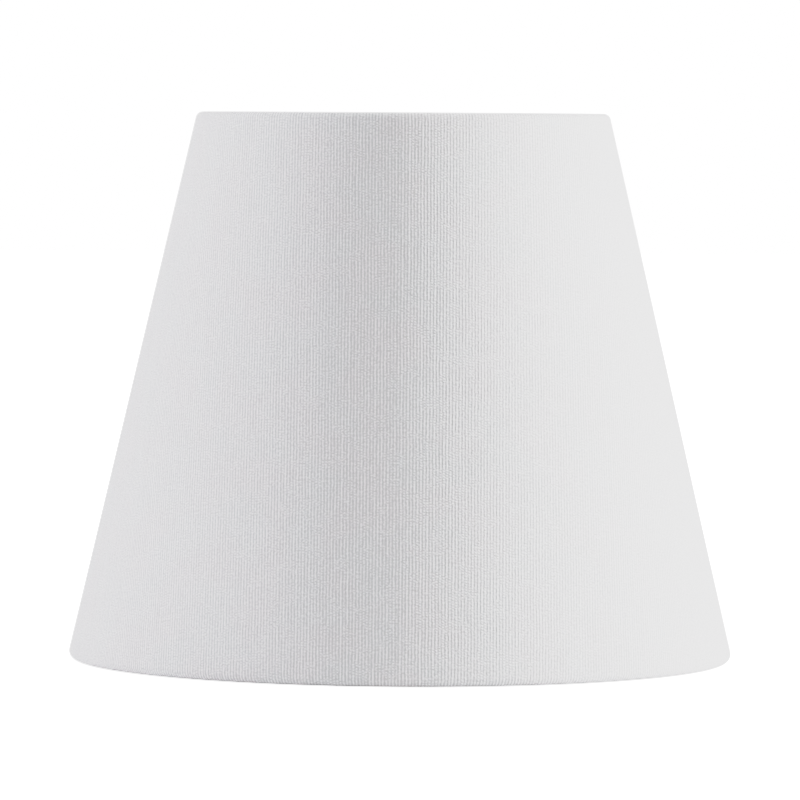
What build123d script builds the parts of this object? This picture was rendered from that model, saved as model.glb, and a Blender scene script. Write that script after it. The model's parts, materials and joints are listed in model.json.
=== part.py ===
from build123d import *
import os
from math import atan2, cos, degrees, sin

# A small tapered lamp shade, in millimetres. The origin is the centre of the circle that the bottom hem
# stands on, and +Z points up to the top rim. The side seam is at the back, at +Y.
#
# The cover is a cone of ribbed fabric laminated to a thin styrene backing sheet. At each end the fabric rolls
# over a taped wire ring, and its cut edge is glued down inside. Three drop arms hang from the top ring and
# hold a carrier ring. The fitter ring tilts in the carrier on two rivets, and a plastic reducer ring drops
# into the fitter ring and lifts out upwards.

# Hem rings: centrelines of the wire
TOP_RING_RADIUS = 60.25
BOTTOM_RING_RADIUS = 97.7
TOP_RING_Z = 162.8
BOTTOM_RING_Z = 2.11
RING_WIRE_RADIUS = 1.25

# Layers of the cover, from the ring outwards
TAPE = 0.25
BACKING = 0.35
FABRIC = 0.45
GLUE_GAP = 0.02

# Hem roll, measured from the ring's centre: across is square to the cone's side, along runs with it
HEM_TURN = 1.0
HEM_RETURN = 4.0
HEM_CUT_EDGE = 13.0
HEM_BEND = 1.2
ROLL_TIGHTNESS = 0.98

# Side seam of the backing sheet
UNDERLAP_WIDTH = 10.0
SEAM_TAPE_WIDTH = 9.0
SEAM_TAPE = 0.1
UNDERLAP_END = 14.0
SEAM_TAPE_END = 15.0

# Tilting fitter
PIVOT_Z = 98.0
CARRIER_RISE = 3.4
CARRIER_RADIUS = 32.5
CARRIER_WIRE_RADIUS = 1.4
FITTER_BORE_RADIUS = 21.0
FITTER_OUTER_RADIUS = 27.5
SHEET_STEEL = 1.5
FLANGE_RISE = 4.5
FLANGE_EDGE = 0.3
EAR_HALF_WIDTH = 4.0
EAR_ROOT = 2.5
EAR_BEND = 1.2
BEAD_CIRCLE_RADIUS = 23.65
BEAD_RISE = 0.1
BEAD_RADIUS = 0.6
RIVET_RADIUS = 1.5
WASHER_RADIUS = 3.6
RUNNING_CLEARANCE = 0.05
WELD_BITE = 0.1

# Pivot brackets, as distances from the shade's axis and heights from the pivot
BRACKET_STEEL = 1.2
BRACKET_INNER_X = 28.5
BRACKET_HALF_WIDTH = 5.95
BRACKET_BELOW = 6.0
LIP_REACH = 2.8
LIP_ABOVE = 1.0
TAB_LENGTH = 5.3
BRACKET_BEND = 0.9
BRACKET_CORNER = 1.6
HOLE_OVERRUN = 1.0
INNER_HEAD_X = 25.8
HEAD_THICKNESS = 1.1
HEAD_RADIUS = 2.8
HEAD_CROWN = 0.8

# Drop arms
ARM_WIRE_RADIUS = 1.25
ARM_SHOULDER_RADIUS = 54.5
ARM_ELBOW_RADIUS = 45.0
ARM_INNER_END = 31.3
ARM_SHOULDER_BEND = 3.5
ARM_ELBOW_BEND = 6.0
ARM_ANGLES = {"back": 90, "left": 210, "right": 330}
SNIP_CLEARANCE = 0.3
SNIP_REACH = 6.0
SNIP_OVERRUN = 1.0

# Reducer ring
REDUCER_BORE_RADIUS = 14.5
REDUCER_FLANGE_RADIUS = 25.5
REDUCER_WALL = 1.6
REDUCER_EDGE = 0.5
REDUCER_ROOT = 0.5
REDUCER_COLLAR_DEPTH = 3.0
FINGER_OUTER_RADIUS = 20.6
FINGER_BEAD_RADIUS = 20.95
FINGER_BEAD_GAP = 0.4
FINGER_BEAD_CHAMFER = 0.3
FINGER_DEPTH = 4.2
FINGER_COUNT = 6
FINGER_SLOT = 2.4
FINGER_SLOT_REACH = 4.0
FINGER_SLOT_ROOF = 0.2
REDUCER_RIB = 1.2
REDUCER_RIB_INSET = 1.0
REDUCER_RIB_BOTTOM = -2.2
REDUCER_RIB_TOP = 0.2

# Worked out from the dimensions above
SLOPE = atan2(BOTTOM_RING_RADIUS - TOP_RING_RADIUS, TOP_RING_Z - BOTTOM_RING_Z)
OUTWARD = Vector(cos(SLOPE), 0, sin(SLOPE))
UPWARD = Vector(-sin(SLOPE), 0, cos(SLOPE))
TAPED_RADIUS = RING_WIRE_RADIUS + TAPE
BACKING_INNER = TAPED_RADIUS + GLUE_GAP
BACKING_OUTER = BACKING_INNER + BACKING
FLANGE_BOTTOM_Z = PIVOT_Z + FLANGE_RISE
FLANGE_TOP_Z = FLANGE_BOTTOM_Z + SHEET_STEEL
CARRIER_Z = PIVOT_Z + CARRIER_RISE


def at_top(across, along):
    """A point of the section near the top ring. Along is towards the rim."""
    return Vector(TOP_RING_RADIUS, 0, TOP_RING_Z) + OUTWARD * across + UPWARD * along


def at_bottom(across, along):
    """A point of the section near the bottom ring. Along is towards the hem's foot."""
    return Vector(BOTTOM_RING_RADIUS, 0, BOTTOM_RING_Z) + OUTWARD * across - UPWARD * along


def wire_ring(radius, height, wire_radius):
    """A round wire bent into a ring about the shade's axis."""
    return Pos(0, 0, height) * Torus(radius, wire_radius)


def turned(section):
    """A section in the XZ plane, turned about the shade's axis."""
    return revolve(section, Axis.Z, 360)


def layer(inner, outer, shorten):
    """A layer of the cone's wall between two distances from the ring line, cut back at both ends."""
    upper = [at_top(inner, -shorten), at_top(outer, -shorten)]
    lower = [at_bottom(outer, -shorten), at_bottom(inner, -shorten)]
    return turned(make_face(Polyline(*upper, *lower, close=True)))


def back_strip(width):
    """A tall block at the back that holds only the wall near the side seam."""
    depth = BOTTOM_RING_RADIUS
    return Pos(0, depth, TOP_RING_Z / 2) * Box(width, depth, 2 * TOP_RING_Z)


def arm_frame(angle):
    """The turn that brings a shape in the XZ plane to an arm's place."""
    return Rot(0, 0, angle)


def snip(angle):
    """The slit in the top hem that lets a drop arm through, from the arm down to the cut edge."""
    clear = ARM_WIRE_RADIUS + SNIP_CLEARANCE
    inside, outside = -SNIP_REACH, BACKING_INNER - GLUE_GAP / 2
    below = HEM_CUT_EDGE + SNIP_OVERRUN
    middle = at_top((inside + outside) / 2, (clear - below) / 2)
    slit = Box(outside - inside, 2 * clear, clear + below)
    return arm_frame(angle) * Pos(*middle) * Rot(0, -degrees(SLOPE), 0) * slit


def cover_fabric():
    """The fabric: outside face, both rolled hems and their glued-down edges, as one sheet."""
    outer = BACKING_OUTER + GLUE_GAP + FABRIC / 2
    inner = BACKING_INNER + FABRIC / 2
    roll = (outer + inner) / 2
    glued = BACKING_INNER - GLUE_GAP - FABRIC / 2
    hem = [(glued, -HEM_CUT_EDGE), (glued, -HEM_RETURN), (-inner, -HEM_TURN), (-inner, roll), (outer, roll)]
    points = [at_top(*p) for p in hem] + [at_bottom(*p) for p in reversed(hem)]
    bends = [HEM_BEND, HEM_BEND, ROLL_TIGHTNESS * roll, ROLL_TIGHTNESS * roll]
    path = FilletPolyline(*points, radius=bends + bends[::-1])
    section = make_face(path.wire().offset_2d(FABRIC / 2, side=Side.BOTH, closed=True))
    cover = turned(section)
    for angle in ARM_ANGLES.values():
        cover -= snip(angle)
    return cover


def seam_tape():
    """Double-sided tape between the two edges of the backing sheet."""
    return layer(BACKING_INNER - SEAM_TAPE, BACKING_INNER, SEAM_TAPE_END) & back_strip(SEAM_TAPE_WIDTH)


def backing_sheet():
    """The styrene cone, with the edge that laps under it along the side seam."""
    sheet = layer(BACKING_INNER, BACKING_OUTER, 0)
    underlap = layer(BACKING_INNER - SEAM_TAPE - BACKING, BACKING_INNER, UNDERLAP_END)
    return sheet + (underlap & back_strip(UNDERLAP_WIDTH)) - seam_tape()


def ring_tape(radius, height):
    """Double-sided tape wound round a hem ring."""
    return wire_ring(radius, height, TAPED_RADIUS) - wire_ring(radius, height, RING_WIRE_RADIUS)


def top_ring_tape():
    """The top ring's tape, open where the drop arms are welded on."""
    tape = ring_tape(TOP_RING_RADIUS, TOP_RING_Z)
    for angle in ARM_ANGLES.values():
        tape -= snip(angle)
    return tape


def drop_arm(angle):
    """One bent wire from the inside of the top ring down to the top of the carrier ring."""
    foot_z = CARRIER_Z + CARRIER_WIRE_RADIUS + ARM_WIRE_RADIUS - WELD_BITE
    path = FilletPolyline(
        (TOP_RING_RADIUS - RING_WIRE_RADIUS + WELD_BITE, 0, TOP_RING_Z),
        (ARM_SHOULDER_RADIUS, 0, TOP_RING_Z),
        (ARM_ELBOW_RADIUS, 0, foot_z),
        (ARM_INNER_END, 0, foot_z),
        radius=[ARM_SHOULDER_BEND, ARM_ELBOW_BEND],
    )
    start = Plane(origin=path @ 0, z_dir=path % 0)
    wire = sweep(start * Circle(ARM_WIRE_RADIUS), path=path)
    return arm_frame(angle) * wire


def rivet_profile(radius, thickness, crown):
    """A flat cylinder with a rounded crown on its +Z side, standing on Z = 0."""
    head = Pos(0, 0, thickness / 2) * Cylinder(radius, thickness)
    return fillet(head.edges().group_by(Axis.Z)[-1], crown)


def along_x(shape, start):
    """Turns a shape that points along +Z to point along +X, starting at a distance from the axis."""
    return Pos(start, 0, PIVOT_Z) * Rot(0, 90, 0) * shape


def pivot_rivet():
    """The rivet at +X: a head inside the fitter's ear, the shank, and the head formed outside the bracket."""
    outer_x = BRACKET_INNER_X + BRACKET_STEEL + GLUE_GAP
    grip = outer_x - INNER_HEAD_X
    shank = along_x(Pos(0, 0, grip / 2) * Cylinder(RIVET_RADIUS, grip), INNER_HEAD_X)
    head = rivet_profile(HEAD_RADIUS, HEAD_THICKNESS, HEAD_CROWN)
    inner = Pos(INNER_HEAD_X, 0, PIVOT_Z) * Rot(0, -90, 0) * head
    return shank + inner + along_x(head, outer_x)


def rivet_hole(clearance, start, length):
    """A round hole along the pivot axis."""
    return along_x(Pos(0, 0, length / 2) * Cylinder(RIVET_RADIUS + clearance, length), start)


def friction_washer():
    """The fibre washer between the fitter's ear and the bracket at +X."""
    thickness = BRACKET_INNER_X - FITTER_OUTER_RADIUS - 2 * RUNNING_CLEARANCE
    disc = Pos(0, 0, thickness / 2) * Cylinder(WASHER_RADIUS, thickness)
    disc -= Pos(0, 0, thickness / 2) * Cylinder(RIVET_RADIUS + 2 * RUNNING_CLEARANCE, thickness)
    return along_x(disc, FITTER_OUTER_RADIUS + RUNNING_CLEARANCE)


def block(x_range, y_range, z_range):
    """A box from its ranges along X, Y and, counted from the pivot, Z."""
    sizes = [high - low for low, high in (x_range, y_range, z_range)]
    middle = [(low + high) / 2 for low, high in (x_range, y_range, z_range)]
    return Pos(middle[0], middle[1], PIVOT_Z + middle[2]) * Box(*sizes)


def pivot_bracket():
    """The pressed bracket at +X: a plate on the pivot, a tab over the carrier wire and two stop lips."""
    inner, outer = BRACKET_INNER_X, BRACKET_INNER_X + BRACKET_STEEL
    tab_bottom = CARRIER_RISE + CARRIER_WIRE_RADIUS - WELD_BITE
    tab_top = tab_bottom + BRACKET_STEEL
    wide = (-BRACKET_HALF_WIDTH, BRACKET_HALF_WIDTH)
    plate = block((inner, outer), wide, (-BRACKET_BELOW, tab_top))
    tab = block((inner, inner + TAB_LENGTH), wide, (tab_bottom, tab_top))
    lip_y = BRACKET_HALF_WIDTH - BRACKET_STEEL
    lip_z = (-BRACKET_BELOW, LIP_ABOVE)
    near = block((inner - LIP_REACH, outer), (-BRACKET_HALF_WIDTH, -lip_y), lip_z)
    far = block((inner - LIP_REACH, outer), (lip_y, BRACKET_HALF_WIDTH), lip_z)
    bracket = plate + tab + near + far
    long_edges = bracket.edges().filter_by(Axis.Z).filter_by(lambda e: e.length > BRACKET_BELOW)
    bracket = fillet(long_edges.group_by(Axis.X)[-1], BRACKET_BEND)
    crease = Vector(inner, 0, PIVOT_Z + tab_top)
    nearest = bracket.edges().filter_by(Axis.Y).sort_by(lambda e: (e.center() - crease).length)
    bracket = fillet(nearest[0], BRACKET_BEND)
    bracket = fillet(bracket.edges().filter_by(Axis.Z).group_by(Axis.X)[-1], BRACKET_CORNER)
    return bracket - rivet_hole(GLUE_GAP, inner - HOLE_OVERRUN, BRACKET_STEEL + 2 * HOLE_OVERRUN)


def fitter_ear():
    """The ear that hangs from the fitter's flange at +X and turns on the rivet."""
    inner, outer = FITTER_OUTER_RADIUS - SHEET_STEEL, FITTER_OUTER_RADIUS
    wide = (-EAR_HALF_WIDTH, EAR_HALF_WIDTH)
    blade = block((inner, outer), wide, (0, FLANGE_RISE + SHEET_STEEL))
    root = block((inner - EAR_ROOT, outer), wide, (FLANGE_RISE, FLANGE_RISE + SHEET_STEEL))
    tip = along_x(Pos(0, 0, SHEET_STEEL / 2) * Cylinder(EAR_HALF_WIDTH, SHEET_STEEL), inner)
    ear = blade + root + tip
    bend = ear.edges().filter_by(Axis.Y).group_by(Axis.Z)[-1].sort_by(Axis.X)[-1]
    ear = fillet(bend, EAR_BEND)
    return ear - rivet_hole(RUNNING_CLEARANCE, inner - HOLE_OVERRUN, SHEET_STEEL + 2 * HOLE_OVERRUN)


def fitter_ring():
    """The pressed steel ring that a lampholder's thread passes through, with its two ears."""
    flange = Pos(0, 0, FLANGE_BOTTOM_Z + SHEET_STEEL / 2) * Cylinder(FITTER_OUTER_RADIUS, SHEET_STEEL)
    flange -= Pos(0, 0, FLANGE_BOTTOM_Z + SHEET_STEEL / 2) * Cylinder(FITTER_BORE_RADIUS, SHEET_STEEL)
    flange = fillet(flange.edges(), FLANGE_EDGE)
    bead = wire_ring(BEAD_CIRCLE_RADIUS, FLANGE_BOTTOM_Z + BEAD_RISE, BEAD_RADIUS)
    ear = fitter_ear()
    return flange + bead + ear + Rot(0, 0, 180) * ear


def reducer_ring():
    """The plastic ring that narrows the fitter: flange, inner collar, snap fingers and stiffening ribs."""
    base_z = FLANGE_TOP_Z + RUNNING_CLEARANCE

    def tube(outer, inner, low, high):
        """A tube about the axis, between two heights counted from the ring's seat."""
        middle, height = base_z + (low + high) / 2, high - low
        return Pos(0, 0, middle) * (Cylinder(outer, height) - Cylinder(inner, height))

    flange = tube(REDUCER_FLANGE_RADIUS, REDUCER_BORE_RADIUS, 0, REDUCER_WALL)
    flange = fillet(flange.edges().group_by(Axis.Z)[-1], REDUCER_EDGE)
    collar = tube(REDUCER_BORE_RADIUS + REDUCER_WALL, REDUCER_BORE_RADIUS, -REDUCER_COLLAR_DEPTH, REDUCER_ROOT)
    finger_inner = FINGER_OUTER_RADIUS - REDUCER_WALL
    fingers = tube(FINGER_OUTER_RADIUS, finger_inner, -FINGER_DEPTH, REDUCER_ROOT)
    bead_low, bead_high = FINGER_BEAD_GAP - FINGER_DEPTH, -SHEET_STEEL - FINGER_BEAD_GAP
    beads = tube(FINGER_BEAD_RADIUS, finger_inner, bead_low, bead_high)
    rims = beads.edges().filter_by(GeomType.CIRCLE).group_by(SortBy.RADIUS)[-1]
    fingers += chamfer(rims, FINGER_BEAD_CHAMFER)
    slot_height = FINGER_DEPTH - FINGER_SLOT_ROOF
    slot = Box(FINGER_SLOT_REACH, FINGER_SLOT, slot_height)
    slot = Pos((FINGER_BEAD_RADIUS + finger_inner) / 2, 0, base_z - FINGER_DEPTH + slot_height / 2) * slot
    for turn in range(FINGER_COUNT):
        fingers -= Rot(0, 0, (turn + 0.5) * 360 / FINGER_COUNT) * slot
    rib_start, rib_end = REDUCER_BORE_RADIUS + REDUCER_RIB_INSET, FINGER_OUTER_RADIUS - REDUCER_RIB_INSET
    rib = Box(rib_end - rib_start, REDUCER_RIB, REDUCER_RIB_TOP - REDUCER_RIB_BOTTOM)
    rib = Pos((rib_start + rib_end) / 2, 0, base_z + (REDUCER_RIB_TOP + REDUCER_RIB_BOTTOM) / 2) * rib
    ring = flange + collar + fingers
    for turn in range(FINGER_COUNT):
        ring += Rot(0, 0, turn * 360 / FINGER_COUNT) * rib
    return ring


def mirrored_pair(name, shape):
    """A piece at +X and its twin at -X, turned half round the axis."""
    return {f"{name}_right": shape, f"{name}_left": Rot(0, 0, 180) * shape}


def build():
    """Every piece of the shade, by name."""
    parts = {
        "cover_fabric": cover_fabric(),
        "backing_sheet": backing_sheet(),
        "seam_tape": seam_tape(),
        "top_ring": wire_ring(TOP_RING_RADIUS, TOP_RING_Z, RING_WIRE_RADIUS),
        "bottom_ring": wire_ring(BOTTOM_RING_RADIUS, BOTTOM_RING_Z, RING_WIRE_RADIUS),
        "top_ring_tape": top_ring_tape(),
        "bottom_ring_tape": ring_tape(BOTTOM_RING_RADIUS, BOTTOM_RING_Z),
        "carrier_ring": wire_ring(CARRIER_RADIUS, CARRIER_Z, CARRIER_WIRE_RADIUS),
        "fitter_ring": fitter_ring(),
        "reducer_ring": reducer_ring(),
        **mirrored_pair("pivot_bracket", pivot_bracket()),
        **mirrored_pair("pivot_rivet", pivot_rivet()),
        **mirrored_pair("friction_washer", friction_washer()),
    }
    for side, angle in ARM_ANGLES.items():
        parts[f"drop_arm_{side}"] = drop_arm(angle)
    return parts


os.makedirs("parts", exist_ok=True)
for node, shape in build().items():
    export_step(shape, f"parts/{node}.step")
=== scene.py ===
import json
from math import asin, atan2, cos, exp, pi, radians, sin, sqrt

import bmesh
import bpy
from mathutils import Euler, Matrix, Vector, noise


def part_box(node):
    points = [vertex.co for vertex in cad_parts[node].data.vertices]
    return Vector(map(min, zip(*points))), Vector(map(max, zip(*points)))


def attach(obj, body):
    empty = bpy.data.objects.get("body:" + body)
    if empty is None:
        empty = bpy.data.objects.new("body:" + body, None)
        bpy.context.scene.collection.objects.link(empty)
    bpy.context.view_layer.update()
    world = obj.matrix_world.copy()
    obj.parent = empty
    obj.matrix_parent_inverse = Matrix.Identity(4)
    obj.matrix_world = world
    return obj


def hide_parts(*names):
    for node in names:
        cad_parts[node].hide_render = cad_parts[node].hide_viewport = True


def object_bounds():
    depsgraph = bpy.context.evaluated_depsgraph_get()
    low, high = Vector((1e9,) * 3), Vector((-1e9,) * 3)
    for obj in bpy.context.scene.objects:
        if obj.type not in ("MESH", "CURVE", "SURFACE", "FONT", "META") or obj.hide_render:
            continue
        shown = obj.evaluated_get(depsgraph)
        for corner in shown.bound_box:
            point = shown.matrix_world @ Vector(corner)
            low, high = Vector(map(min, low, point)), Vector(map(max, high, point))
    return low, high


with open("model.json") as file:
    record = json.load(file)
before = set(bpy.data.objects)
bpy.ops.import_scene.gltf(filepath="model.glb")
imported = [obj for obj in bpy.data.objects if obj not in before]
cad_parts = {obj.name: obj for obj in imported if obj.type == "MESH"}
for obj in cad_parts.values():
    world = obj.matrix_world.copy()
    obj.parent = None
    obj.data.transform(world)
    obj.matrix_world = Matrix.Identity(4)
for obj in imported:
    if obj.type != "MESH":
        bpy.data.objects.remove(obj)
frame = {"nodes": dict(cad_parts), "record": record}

# The looks of a small tapered lamp shade, in metres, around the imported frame. Angles round the shade are
# counted from the front, at -Y, towards +X. The side seam is at the back, at half a turn.

MM = 0.001
CAD_LOW, CAD_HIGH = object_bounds()

# ---------------------------------------------------------------- sizes, from the frame


def ring_of(node):
    """A ring's centreline radius, its height and its wire's radius."""
    low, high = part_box(node)
    wire = (high.z - low.z) / 2
    return (high.x - low.x) / 2 - wire, (high.z + low.z) / 2, wire


TOP_RADIUS, TOP_Z, _ = ring_of("top_ring")
BOTTOM_RADIUS, BOTTOM_Z, _ = ring_of("bottom_ring")
TAPED_WIRE = ring_of("bottom_ring_tape")[2]
CARRIER_RADIUS, CARRIER_Z, CARRIER_WIRE = ring_of("carrier_ring")
SLOPE = atan2(BOTTOM_RADIUS - TOP_RADIUS, TOP_Z - BOTTOM_Z)
BACKING_FACE = (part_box("backing_sheet")[1].x - BOTTOM_RADIUS) / cos(SLOPE)

# ---------------------------------------------------------------- the cover's shape

FABRIC = 0.45 * MM
GLUE = 0.02 * MM
HEM_DEPTH = 13.0 * MM
TUCK_DEPTH = 4.2 * MM
TUCK_START = 2.2 * MM
TUCK_FINISH = 1.8 * MM
BACKING_THICKNESS = 0.35 * MM
WALL_ROWS = 36
ROLL_STEPS = 22
TUCK_STEPS = 10
GLUED_STEPS = 7
COLUMN_STEP = radians(1.5)
SAME_PLACE = 0.002 * MM

# The lap at the side seam, in radians round the shade, and how far it stands off
SEAM_HALF = 0.05
SEAM_LIFT = 0.5 * MM
SEAM_RAMP = 0.04
SEAM_RAMP_COLUMNS = (0.0, 0.15, 0.3, 0.45, 0.6, 0.75, 0.9, 1.0)
SEAM_FLATTENING = 0.9
EDGE_CURL = 0.02
EDGE_CURL_COLUMNS = (0.04, 0.2, 0.4, 0.6, 0.8, 1.0)
EDGE_LIFT = 0.12 * MM

# The slits in the top hem round the drop arms. The back one is in the seam, so both ends have it.
ARM_ANGLES = (-pi / 3, pi / 3, pi)
SLIT_ANGLES = (-pi, *ARM_ANGLES)
SLIT_COLUMNS_MM = [0.3, 0.7, 1.2, 1.8, 2.5, 3.4, 4.3]
SLIT_SPACING = 0.0015
SLIT_REACH = 5 * MM
SLIT_START = 0.12 * MM
SLIT_FLARE = 0.5 * MM
ARM_CLEARANCE = 1.62 * MM

# The wave of the two cut edges, with a place in the noise for each
RAGGED_HEIGHT = 0.35 * MM
RAGGED_SCALE = 9
TOP_EDGE_PLACE = 3.7
BOTTOM_EDGE_PLACE = 8.1

OUTER = BACKING_FACE + GLUE + FABRIC / 2
INNER = TAPED_WIRE + GLUE + FABRIC / 2
GLUED = BACKING_FACE - BACKING_THICKNESS - GLUE - FABRIC / 2


def section(radius, height, up):
    """Turns (across, along) round a hem ring into (r, z). Up is 1 at the top ring, -1 at the bottom."""
    def place(across, along):
        r = radius + across * cos(SLOPE) - up * along * sin(SLOPE)
        z = height + across * sin(SLOPE) + up * along * cos(SLOPE)
        return r, z
    return place


def bezier(points, t):
    """A point of a cubic curve."""
    a, b, c, d = points
    return tuple(
        (1 - t) ** 3 * p + 3 * t * (1 - t) ** 2 * q + 3 * t * t * (1 - t) * r + t ** 3 * s
        for p, q, r, s in zip(a, b, c, d)
    )


def hem_line():
    """The hem's centreline from the outer wall over the ring to the cut edge, as (across, along)."""
    middle, roll = (OUTER - INNER) / 2, (OUTER + INNER) / 2
    line = []
    for i in range(1, ROLL_STEPS + 1):
        turn = pi * i / ROLL_STEPS
        line.append((middle + roll * cos(turn), roll * sin(turn)))
    tuck = [(-INNER, 0), (-INNER, -TUCK_START), (GLUED, -TUCK_FINISH), (GLUED, -TUCK_DEPTH)]
    line += [bezier(tuck, i / TUCK_STEPS) for i in range(1, TUCK_STEPS + 1)]
    glued = HEM_DEPTH - TUCK_DEPTH
    line += [(GLUED, -TUCK_DEPTH - glued * i / GLUED_STEPS) for i in range(1, GLUED_STEPS + 1)]
    return line


def cover_line():
    """The cover's centreline in (r, z), from the top cut edge down, and a hem's count of rows."""
    top, bottom = section(TOP_RADIUS, TOP_Z, 1), section(BOTTOM_RADIUS, BOTTOM_Z, -1)
    hem = hem_line()
    high, low = top(OUTER, 0), bottom(OUTER, 0)
    wall = []
    for i in range(WALL_ROWS + 1):
        t = i / WALL_ROWS
        wall.append(tuple(a + (b - a) * t for a, b in zip(high, low)))
    points = [top(*p) for p in reversed(hem)] + wall + [bottom(*p) for p in hem]
    return points, len(hem)


def outward(points, i):
    """The unit normal of a line in (r, z), pointing out of the shade's wall."""
    (r0, z0), (r1, z1) = points[max(i - 1, 0)], points[min(i + 1, len(points) - 1)]
    length = sqrt((r1 - r0) ** 2 + (z1 - z0) ** 2)
    return (z0 - z1) / length, (r1 - r0) / length


def smooth(t):
    """Eases from 0 to 1."""
    t = min(max(t, 0.0), 1.0)
    return t * t * (3 - 2 * t)


def cover_columns():
    """Angles of the cover's columns, with the side of a slit that each one belongs to."""
    ends = (-pi - SEAM_HALF, pi + SEAM_HALF)
    angles = set()
    count = round((ends[1] - ends[0]) / COLUMN_STEP)
    for i in range(count + 1):
        angles.add(round(ends[0] + (ends[1] - ends[0]) * i / count, 6))
    for slit in SLIT_ANGLES:
        for distance in SLIT_COLUMNS_MM:
            angles.add(round(slit + distance * MM / TOP_RADIUS, 6))
            angles.add(round(slit - distance * MM / TOP_RADIUS, 6))
    for fraction in SEAM_RAMP_COLUMNS:
        angles.add(round(pi - SEAM_HALF - SEAM_RAMP * fraction, 6))
    for fraction in EDGE_CURL_COLUMNS:
        angles.add(round(pi + SEAM_HALF - EDGE_CURL * fraction, 6))
    columns = []
    for angle in sorted(angles):
        if ends[0] <= angle <= ends[1] and min(abs(angle - s) for s in SLIT_ANGLES) > SLIT_SPACING:
            columns.append((angle, 0))
    for slit in SLIT_ANGLES:
        columns += [(slit, -1), (slit, 1)]
    return sorted(columns)


def seam_offset(angle):
    """How far the cover's overlapping end stands off the end below it. Its cut edge lifts a little."""
    rise = smooth((angle - (pi - SEAM_HALF - SEAM_RAMP)) / SEAM_RAMP)
    edge = max((angle - (pi + SEAM_HALF - EDGE_CURL)) / EDGE_CURL, 0)
    return SEAM_LIFT * rise + EDGE_LIFT * edge ** 2


def slit_half_width(z, inside_depth):
    """Half the width of the slit round a drop arm, at a height and a depth below the arm."""
    round_arm = sqrt(max(0.0, ARM_CLEARANCE ** 2 - (z - TOP_Z) ** 2))
    below = 0.0
    if inside_depth > 0:
        below = SLIT_START + SLIT_FLARE * smooth(inside_depth / HEM_DEPTH)
    return max(round_arm, below)


def make_object(name, points, faces, uv=None):
    """A mesh object with smooth faces. UV gives each point's flat place in the map called flat."""
    mesh = bpy.data.meshes.new(name)
    mesh.from_pydata(points, [], faces)
    if uv:
        layer = mesh.uv_layers.new(name="flat")
        corners = [0] * len(mesh.loops)
        mesh.loops.foreach_get("vertex_index", corners)
        layer.data.foreach_set("uv", [c for v in corners for c in uv[v]])
    mesh.polygons.foreach_set("use_smooth", [True] * len(mesh.polygons))
    mesh.update()
    piece = bpy.data.objects.new(name, mesh)
    bpy.context.scene.collection.objects.link(piece)
    return piece


def weld_points(piece, distance):
    """Joins points that lie in the same place."""
    work = bmesh.new()
    work.from_mesh(piece.data)
    bmesh.ops.remove_doubles(work, verts=work.verts, dist=distance)
    work.to_mesh(piece.data)
    work.free()


def thicken(piece, thickness):
    """Gives a sheet its thickness, half to each side."""
    solid = piece.modifiers.new("thickness", "SOLIDIFY")
    solid.thickness = thickness
    solid.offset = 0
    solid.use_even_offset = True


def make_cover():
    """The fabric: wall, rolled hems, slits round the drop arms and the lapped side seam, as one sheet.

    It also works out the sheet's flat size and area, which is a sector of a ring.
    """
    line, hem_rows = cover_line()
    columns = cover_columns()
    normals = [outward(line, i) for i in range(len(line))]
    lengths = [0.0]
    for (r0, z0), (r1, z1) in zip(line, line[1:]):
        lengths.append(lengths[-1] + sqrt((r1 - r0) ** 2 + (z1 - z0) ** 2))
    wall_start = line[hem_rows][0] / sin(SLOPE)
    points, uv = [], []
    for i, (r, z) in enumerate(line):
        slant = wall_start + lengths[i] - lengths[hem_rows]
        on_top_hem = i < hem_rows - ROLL_STEPS / 2
        depth = TOP_Z - z if on_top_hem else 0
        ragged = smooth((hem_rows - TUCK_STEPS - ROLL_STEPS - i) / GLUED_STEPS)
        ragged = max(ragged, smooth((i - len(line) + GLUED_STEPS) / GLUED_STEPS))
        for angle, side in columns:
            off = seam_offset(angle) * (1 - SEAM_FLATTENING * normals[i][1] ** 2)
            turned = angle
            if on_top_hem:
                slit = min(SLIT_ANGLES, key=lambda s: abs(s - angle))
                away = (angle - slit) * TOP_RADIUS
                half = slit_half_width(z, depth)
                if abs(away) < SLIT_REACH:
                    direction = side or (1 if away > 0 else -1)
                    moved = half + abs(away) * (1 - half / SLIT_REACH)
                    turned = slit + direction * moved / TOP_RADIUS
            place = Vector((sin(angle), -cos(angle), 0)) * RAGGED_SCALE
            edge_place = TOP_EDGE_PLACE if on_top_hem else BOTTOM_EDGE_PLACE
            wave = RAGGED_HEIGHT * ragged * noise.noise(place + Vector((0, 0, edge_place)))
            nr, nz = normals[i]
            rr = r + nr * off + nz * wave
            zz = z + nz * off - nr * wave
            points.append((rr * sin(turned), -rr * cos(turned), zz))
            flat_angle = angle * sin(SLOPE)
            uv.append((slant * sin(flat_angle), -slant * cos(flat_angle)))
    faces = []
    width = len(columns)
    for i in range(len(line) - 1):
        for j in range(width - 1):
            if columns[j][1] == -1:
                continue
            a = i * width + j
            faces.append((a, a + width, a + width + 1, a + 1))
    cover = make_object("fabric_cover", points, faces, uv)
    weld_points(cover, SAME_PLACE)
    thicken(cover, FABRIC)
    flat_angle = (pi + SEAM_HALF) * sin(SLOPE)
    inner, outer = wall_start - lengths[hem_rows], wall_start + lengths[-1] - lengths[hem_rows]
    flat = (2 * outer * sin(flat_angle), outer - inner * cos(flat_angle))
    area = flat_angle * (outer ** 2 - inner ** 2)
    return cover, flat, area


# ---------------------------------------------------------------- welds

BEAD_ROWS = 14
BEAD_TURNS = 24
BEAD_UNEVENNESS = 0.12
BEAD_LUMP_SCALE = 1.6
BEAD_PLACE_SCALE = 900
BEAD_RISE = 0.8
BEAD_SAME_PLACE = 0.001 * MM
ARM_BEAD = (1.5 * MM, 2.7 * MM, 1.1 * MM)
BRACKET_BEAD = (1.3 * MM, 1.5 * MM, 0.9 * MM)


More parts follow.
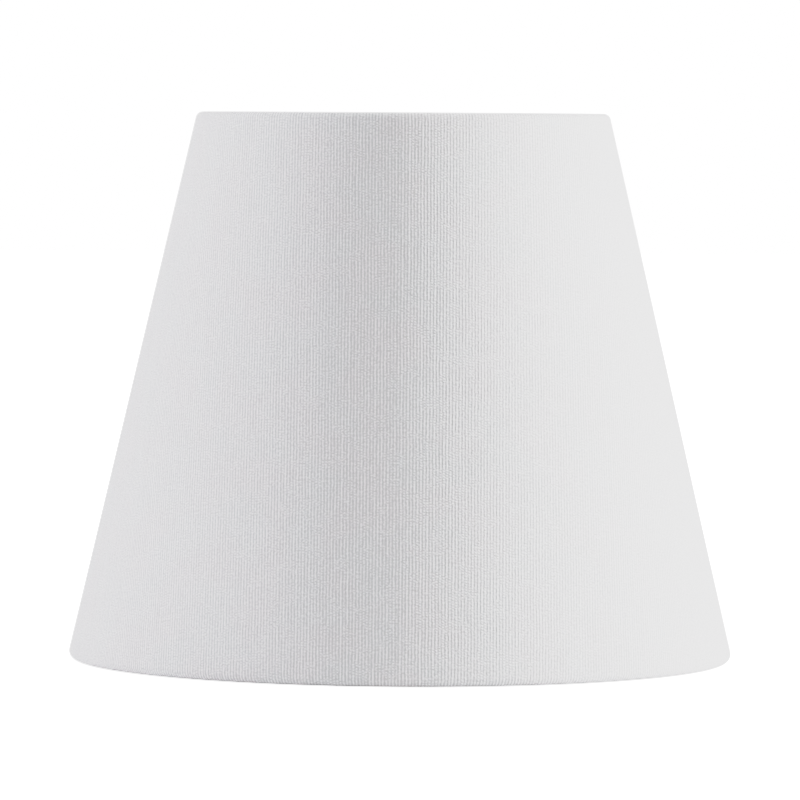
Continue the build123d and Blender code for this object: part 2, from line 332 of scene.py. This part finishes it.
def weld_bead(centre, angle, sizes):
    """One weld bead, a low, uneven mound. Sizes are its half reach out, round and up."""
    out, across = Vector((sin(angle), -cos(angle), 0)), Vector((cos(angle), sin(angle), 0))
    points = []
    for row in range(BEAD_ROWS + 1):
        tilt = pi * row / BEAD_ROWS
        for turn in range(BEAD_TURNS):
            spin = 2 * pi * turn / BEAD_TURNS
            way = Vector((sin(tilt) * cos(spin), sin(tilt) * sin(spin), cos(tilt)))
            uneven = 1 + BEAD_UNEVENNESS * noise.noise(way * BEAD_LUMP_SCALE + centre * BEAD_PLACE_SCALE)
            level_reach = out * (way.x * sizes[0]) + across * (way.y * sizes[1])
            reach = level_reach + Vector((0, 0, way.z * sizes[2]))
            points.append(centre + reach * uneven)
    faces = []
    for row in range(BEAD_ROWS):
        for turn in range(BEAD_TURNS):
            after = (turn + 1) % BEAD_TURNS
            a, b = row * BEAD_TURNS, (row + 1) * BEAD_TURNS
            faces.append((a + turn, b + turn, b + after, a + after))
    return points, faces


def weld_beads(name, places, sizes):
    """One object for all the beads of one kind. Each place is a point and its angle round the shade."""
    points, faces = [], []
    for centre, angle in places:
        more_points, more_faces = weld_bead(centre, angle, sizes)
        faces += [tuple(len(points) + i for i in face) for face in more_faces]
        points += more_points
    beads = make_object(name, points, faces)
    weld_points(beads, BEAD_SAME_PLACE)
    return beads


def on_carrier(angle):
    """The middle of a bead on the carrier wire, a little under the wire's top."""
    height = CARRIER_Z + BEAD_RISE * CARRIER_WIRE
    return Vector((CARRIER_RADIUS * sin(angle), -CARRIER_RADIUS * cos(angle), height))


def arm_welds():
    """A bead where each drop arm crosses the carrier ring."""
    places = [(on_carrier(angle), angle) for angle in ARM_ANGLES]
    return weld_beads("arm_welds", places, ARM_BEAD)


def bracket_welds():
    """A bead on each side of the two bracket tabs."""
    low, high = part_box("pivot_bracket_right")
    half = asin((high.y - low.y) / 2 / CARRIER_RADIUS)
    places = []
    for middle in (-pi / 2, pi / 2):
        for side in (-1, 1):
            angle = middle + side * half
            places.append((on_carrier(angle), angle))
    return weld_beads("bracket_welds", places, BRACKET_BEAD)


# ---------------------------------------------------------------- materials


class Finish:
    """A material whose nodes are added one call at a time."""

    def __init__(self, name, **constants):
        self.material = bpy.data.materials.new(name)
        self.material.use_nodes = True
        self.tree = self.material.node_tree
        self.shader = self.tree.nodes["Principled BSDF"]
        for key, value in constants.items():
            self.shader.inputs[key.replace("_", " ")].default_value = value

    def join(self, socket, value):
        """Links a socket, or sets its value."""
        if isinstance(value, bpy.types.NodeSocket):
            self.tree.links.new(value, socket)
        else:
            socket.default_value = value

    def node(self, kind, inputs=(), out=0, **settings):
        """Adds a node and returns one of its outputs."""
        made = self.tree.nodes.new("ShaderNode" + kind)
        for key, value in settings.items():
            setattr(made, key, value)
        for key, value in dict(inputs).items():
            self.join(made.inputs[key], value)
        return made.outputs[out]

    def math(self, operation, *values):
        """A Math node."""
        return self.node("Math", dict(enumerate(values)), operation=operation)

    def remap(self, value, low, high, new_low, new_high):
        """A smooth change from one range to another."""
        inputs = {0: value, 1: low, 2: high, 3: new_low, 4: new_high}
        return self.node("MapRange", inputs, interpolation_type="SMOOTHSTEP")

    def noise(self, vector, scale, detail=2.0, **settings):
        """A noise value about 0.5."""
        return self.node("TexNoise", {"Vector": vector, "Scale": scale, "Detail": detail}, **settings)

    def blend(self, factor, dark, light):
        """A colour between two."""
        inputs = {0: factor, 6: dark, 7: light}
        return self.node("Mix", inputs, out=2, data_type="RGBA")

    def bump(self, height, distance, strength=1.0):
        """Uses a height for the surface's relief."""
        inputs = {"Height": height, "Distance": distance, "Strength": strength}
        self.join(self.shader.inputs["Normal"], self.node("Bump", inputs))

    def use(self, **sockets):
        """Links or sets sockets of the shader."""
        for key, value in sockets.items():
            self.join(self.shader.inputs[key.replace("_", " ")], value)
        return self.material


RIB_PITCH = 0.95 * MM
RIB_HEIGHT = 0.085 * MM
RIB_HALF_WIDTH = 0.42
RIB_WANDER = 0.5
PAIR_DIP = 0.14
WEFT_PITCH = 0.8 * MM
BEAD_PATCH_LIFT = 0.2
FUZZ_DEPTH = 1.7

# Noise scales, per metre, and the step in the noise from one thread to the next
WANDER_SCALE = 90
SLUB_SCALE = 130
PATCH_SCALE = 230
FUZZ_SCALE = 1450
TINT_SCALE = 60
THREAD_STEP = 7.31


def ribbed_fabric():
    """White ribbed cloth. Its threads run straight in the flat pattern, so they fan out towards the back.

    Every second rib is a little lower. Each rib swells and thins along its length. In patches the weft
    crosses over the ribs and breaks them into beads. The hollows carry painted shade: their colour is
    darker than the crowns', for the shadow that the ribs cast into them.
    """
    f = Finish("ribbed_fabric", Roughness=0.92, Sheen_Weight=0.12, Sheen_Roughness=0.45)
    flat = f.node("UVMap", uv_map="flat")
    split = f.tree.nodes.new("ShaderNodeSeparateXYZ")
    f.join(split.inputs[0], flat)
    x, y = split.outputs[0], split.outputs[1]
    wander = f.math("MULTIPLY", f.math("SUBTRACT", f.noise(flat, WANDER_SCALE), 0.5), RIB_WANDER)
    warp = f.math("ADD", f.math("DIVIDE", x, RIB_PITCH), wander)
    rib = f.remap(f.math("PINGPONG", warp, 0.5), 0.0, RIB_HALF_WIDTH, 1.0, 0.0)
    thread = f.math("ROUND", warp)
    paired = f.math("MULTIPLY_ADD", f.math("PINGPONG", thread, 1.0), -PAIR_DIP, 1.0)
    spread, length = f.math("MULTIPLY", thread, THREAD_STEP), f.math("MULTIPLY", y, SLUB_SCALE)
    along = f.node("CombineXYZ", {0: spread, 1: length})
    slub = f.noise(along, 1.0, 3.0)
    phase = f.node("TexWhiteNoise", {"W": thread}, noise_dimensions="1D")
    weft = f.math("ADD", f.math("DIVIDE", y, WEFT_PITCH), phase)
    bead = f.math("MULTIPLY_ADD", f.math("COSINE", f.math("MULTIPLY", weft, 2 * pi)), 0.5, 0.5)
    uneven = f.math("MULTIPLY_ADD", f.noise(along, 1.7, 1.0), 0.5, f.noise(flat, PATCH_SCALE, 1.0))
    patch = f.remap(uneven, 0.72, 0.86, 0.06, 0.95)
    beaded = f.math("MULTIPLY_ADD", f.math("SUBTRACT", bead, 1.0), patch, 1.0)
    swell, own_size = f.remap(slub, 0.3, 0.7, 0.72, 1.06), f.remap(phase, 0.0, 1.0, 0.82, 1.0)
    fullness = f.math("MULTIPLY", swell, own_size)
    fuzz = f.math("SUBTRACT", f.noise(flat, FUZZ_SCALE, 4.0), 0.5)
    height = f.math("MULTIPLY", f.math("MULTIPLY", rib, beaded), f.math("MULTIPLY", fullness, paired))
    evened = f.math("MULTIPLY_ADD", patch, BEAD_PATCH_LIFT, height)
    relief = f.math("MULTIPLY_ADD", fuzz, FUZZ_DEPTH, evened)
    f.bump(relief, RIB_HEIGHT)
    cast = f.remap(f.noise(flat, TINT_SCALE, 1.0), 0.35, 0.65, 0, 1)
    tint = f.blend(cast, (0.912, 0.895, 0.911, 1), (0.902, 0.902, 0.917, 1))
    # Painted shade: the colour darkens towards the hollows of the relief, for the shadow that the ribs cast
    # into them
    shade = f.remap(relief, -0.12, 1.0, 0.665, 1.0)
    colour = f.node("VectorMath", {0: tint, 3: shade}, operation="SCALE")
    return f.use(Base_Color=colour)


def coated_wire():
    """White powder coat with fine orange peel."""
    f = Finish("powder_coat", Roughness=0.38)
    place = f.node("TexCoord", out=3)
    peel = f.noise(place, 2600, 2.0)
    f.bump(peel, 0.02 * MM)
    colour = f.blend(f.noise(place, 160, 3.0), (0.83, 0.83, 0.82, 1), (0.88, 0.88, 0.875, 1))
    return f.use(Base_Color=colour, Roughness=f.remap(peel, 0.3, 0.7, 0.32, 0.45))


def backing_film():
    """Satin styrene film with faint haze."""
    f = Finish("backing_film", Roughness=0.5)
    place = f.node("TexCoord", out=3)
    haze = f.noise(place, 45, 4.0)
    fine = f.noise(place, 900, 2.0)
    f.bump(fine, 0.01 * MM)
    colour = f.blend(haze, (0.84, 0.83, 0.8, 1), (0.88, 0.875, 0.855, 1))
    return f.use(Base_Color=colour, Roughness=f.remap(haze, 0.3, 0.7, 0.42, 0.58))


def adhesive_tape():
    """Cream paper tape."""
    f = Finish("adhesive_tape", Roughness=0.75)
    place = f.node("TexCoord", out=3)
    fibre = f.noise(place, 1500, 4.0)
    f.bump(fibre, 0.02 * MM)
    return f.use(Base_Color=f.blend(fibre, (0.72, 0.68, 0.58, 1), (0.82, 0.79, 0.7, 1)))


def zinc_steel():
    """Bright zinc plate with a fine spangle."""
    f = Finish("zinc_steel", Metallic=1.0, Roughness=0.3)
    place = f.node("TexCoord", out=3)
    spangle = f.noise(place, 800, 3.0)
    f.bump(f.noise(place, 3000, 2.0), 0.01 * MM)
    colour = f.blend(spangle, (0.55, 0.56, 0.58, 1), (0.72, 0.73, 0.75, 1))
    return f.use(Base_Color=colour, Roughness=f.remap(spangle, 0.3, 0.7, 0.22, 0.42))


def washer_fibre():
    """Red-brown vulcanised fibre."""
    f = Finish("vulcanised_fibre", Roughness=0.7)
    place = f.node("TexCoord", out=3)
    fibre = f.noise(place, 1800, 4.0)
    f.bump(fibre, 0.02 * MM)
    return f.use(Base_Color=f.blend(fibre, (0.2, 0.06, 0.04, 1), (0.32, 0.11, 0.08, 1)))


def reducer_plastic():
    """White moulded plastic with a fine spark texture."""
    f = Finish("moulded_plastic", Roughness=0.35)
    place = f.node("TexCoord", out=3)
    spark = f.noise(place, 2200, 3.0)
    f.bump(spark, 0.012 * MM)
    colour = f.blend(f.noise(place, 80, 2.0), (0.84, 0.84, 0.815, 1), (0.87, 0.87, 0.85, 1))
    return f.use(Base_Color=colour, Roughness=f.remap(spark, 0.3, 0.7, 0.28, 0.42))


# The backdrop's level, the floor's level near the shade, and the distances over which it rises to the first
WHITE = 3.0
NEAR_GLOW = 2.2
NEAR, FAR = 0.1, 0.6

# The light that the floor and the world give
FLOOR_FILL = 0.1
WORLD_FILL = 0.21


def floor_finish():
    """A pale matt floor that glows a little, turns white away from the shade and is clear from below."""
    f = Finish("pale_floor", Roughness=0.9)
    place = f.node("TexCoord", out=3)
    f.use(Base_Color=f.blend(f.noise(place, 3, 2.0), (0.9, 0.9, 0.9, 1), (0.92, 0.92, 0.92, 1)))
    away = f.node("VectorMath", {0: place}, out=1, operation="LENGTH")
    level = f.remap(away, NEAR, FAR, NEAR_GLOW, WHITE)
    seen = f.node("LightPath")
    glow = f.node("Emission", {"Strength": f.math("MULTIPLY_ADD", seen, level, FLOOR_FILL)})
    lit = f.node("AddShader", {0: f.shader.outputs[0], 1: glow})
    below = f.node("NewGeometry", out=6)
    mixed = f.node("MixShader", {0: below, 1: lit, 2: f.node("BsdfTransparent")})
    f.join(f.tree.nodes["Material Output"].inputs[0], mixed)
    return f.material


# ---------------------------------------------------------------- pieces

FABRIC_MAT = ribbed_fabric()
cover, flat, area = make_cover()
cover.data.materials.append(FABRIC_MAT)
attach(cover, "shade")
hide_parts("cover_fabric")

SLOT_FINISHES = {
    "backing_film": backing_film(),
    "adhesive_tape": adhesive_tape(),
    "coated_wire": coated_wire(),
    "zinc_steel": zinc_steel(),
    "fibre_washer": washer_fibre(),
    "reducer_plastic": reducer_plastic(),
    "ribbed_fabric": FABRIC_MAT,
}
for beads in (arm_welds(), bracket_welds()):
    beads.data.materials.append(SLOT_FINISHES["coated_wire"])
    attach(beads, "shade")

for part in frame["record"]["subparts"]:
    node = frame["nodes"][part["node"]]
    finish = SLOT_FINISHES[part["material_slot"]]
    for slot in node.material_slots:
        slot.material = finish
    if not node.material_slots:
        node.data.materials.append(finish)

# ---------------------------------------------------------------- floor, light and camera

FLOOR_SIZE = 12.0
# name, azimuth, elevation, distance, size, strength, tint
SOFTBOXES = (
    ("softbox_left", -90, 18, 2.0, 1.0, 24.2, (0.96, 0.95, 1)),
    ("softbox_right", 75, 18, 2.0, 1.0, 3.0, (1, 1, 1)),
    ("strip_right", 85, 12, 1.6, 0.5, 24.5, (1, 1, 1)),
    ("softbox_back", 180, 40, 2.6, 1.0, 10, (1, 1, 1)),
    ("softbox_top", 0, 86, 2.2, 2.0, 30, (1, 1, 1)),
)
LENS_MM = 278.3
SENSOR_MM = 36
CAMERA_DISTANCE = 1.87
CAMERA_BELOW_RIM = 4 * MM


def add_floor():
    """The plain pale floor that the shade stands on."""
    half = FLOOR_SIZE / 2
    corners = [(-half, -half, 0), (half, -half, 0), (half, half, 0), (-half, half, 0)]
    floor = make_object("floor", corners, [(0, 1, 2, 3)])
    floor.data.materials.append(floor_finish())


def add_softbox(name, azimuth, elevation, distance, size, strength, tint):
    """A square softbox that looks at the shade. Azimuth 0 is the camera's side, and 90 is at +X."""
    lamp = bpy.data.lights.new(name, "AREA")
    lamp.size = size
    lamp.energy = strength
    lamp.color = tint
    box = bpy.data.objects.new(name, lamp)
    a, e = radians(azimuth), radians(elevation)
    away = Vector((sin(a) * cos(e), -cos(a) * cos(e), sin(e)))
    target = Vector((0, 0, CAD_HIGH.z / 2))
    box.location = target + away * distance
    box.rotation_euler = away.to_track_quat("Z", "Y").to_euler()
    box.visible_camera = False
    bpy.context.scene.collection.objects.link(box)


def add_world(fill):
    """A white backdrop that gives a little even light."""
    world = bpy.data.worlds.new("studio")
    world.use_nodes = True
    tree = world.node_tree
    background = tree.nodes["Background"]
    background.inputs[0].default_value = (1, 1, 1, 1)
    seen = tree.nodes.new("ShaderNodeLightPath")
    level = tree.nodes.new("ShaderNodeMapRange")
    level.inputs["To Min"].default_value = fill
    level.inputs["To Max"].default_value = WHITE
    tree.links.new(seen.outputs["Is Camera Ray"], level.inputs["Value"])
    tree.links.new(level.outputs[0], background.inputs["Strength"])
    bpy.context.scene.world = world


def add_camera():
    """Level with the top rim, looking a little down at the shade's middle."""
    data = bpy.data.cameras.new("camera")
    data.lens = LENS_MM
    data.sensor_width = SENSOR_MM
    camera = bpy.data.objects.new("camera", data)
    camera.location = (0, -CAMERA_DISTANCE, CAD_HIGH.z - CAMERA_BELOW_RIM)
    down, turn, roll = radians(2.535), radians(-0.0135), radians(0.37)
    aim = Vector((sin(turn) * cos(down), cos(turn) * cos(down), -sin(down)))
    camera.rotation_mode = "QUATERNION"
    camera.rotation_quaternion = aim.to_track_quat("-Z", "Y") @ Euler((0, 0, roll)).to_quaternion()
    bpy.context.scene.collection.objects.link(camera)
    bpy.context.scene.camera = camera


KNEE = 0.56
CEILING = 0.83
ROLL_OFF = 0.26
CURVE_POINTS = 7
CURVE_STEP = 0.17
COMBINED = 3


def add_film_curve():
    """Rolls off the tones above a knee, as film does, and lets only the backdrop reach white."""
    view = bpy.context.scene.view_settings
    view.view_transform = "Standard"
    view.use_curve_mapping = True
    mapping = view.curve_mapping
    mapping.white_level = (WHITE, WHITE, WHITE)
    tones = mapping.curves[COMBINED]
    for step in range(CURVE_POINTS):
        level = KNEE + CURVE_STEP * step
        shown = KNEE + (CEILING - KNEE) * (1 - exp((KNEE - level) / ROLL_OFF))
        tones.points.new(level / WHITE, shown)
    mapping.update()


add_floor()
add_world(WORLD_FILL)
for row in SOFTBOXES:
    add_softbox(*row)
add_camera()
add_film_curve()
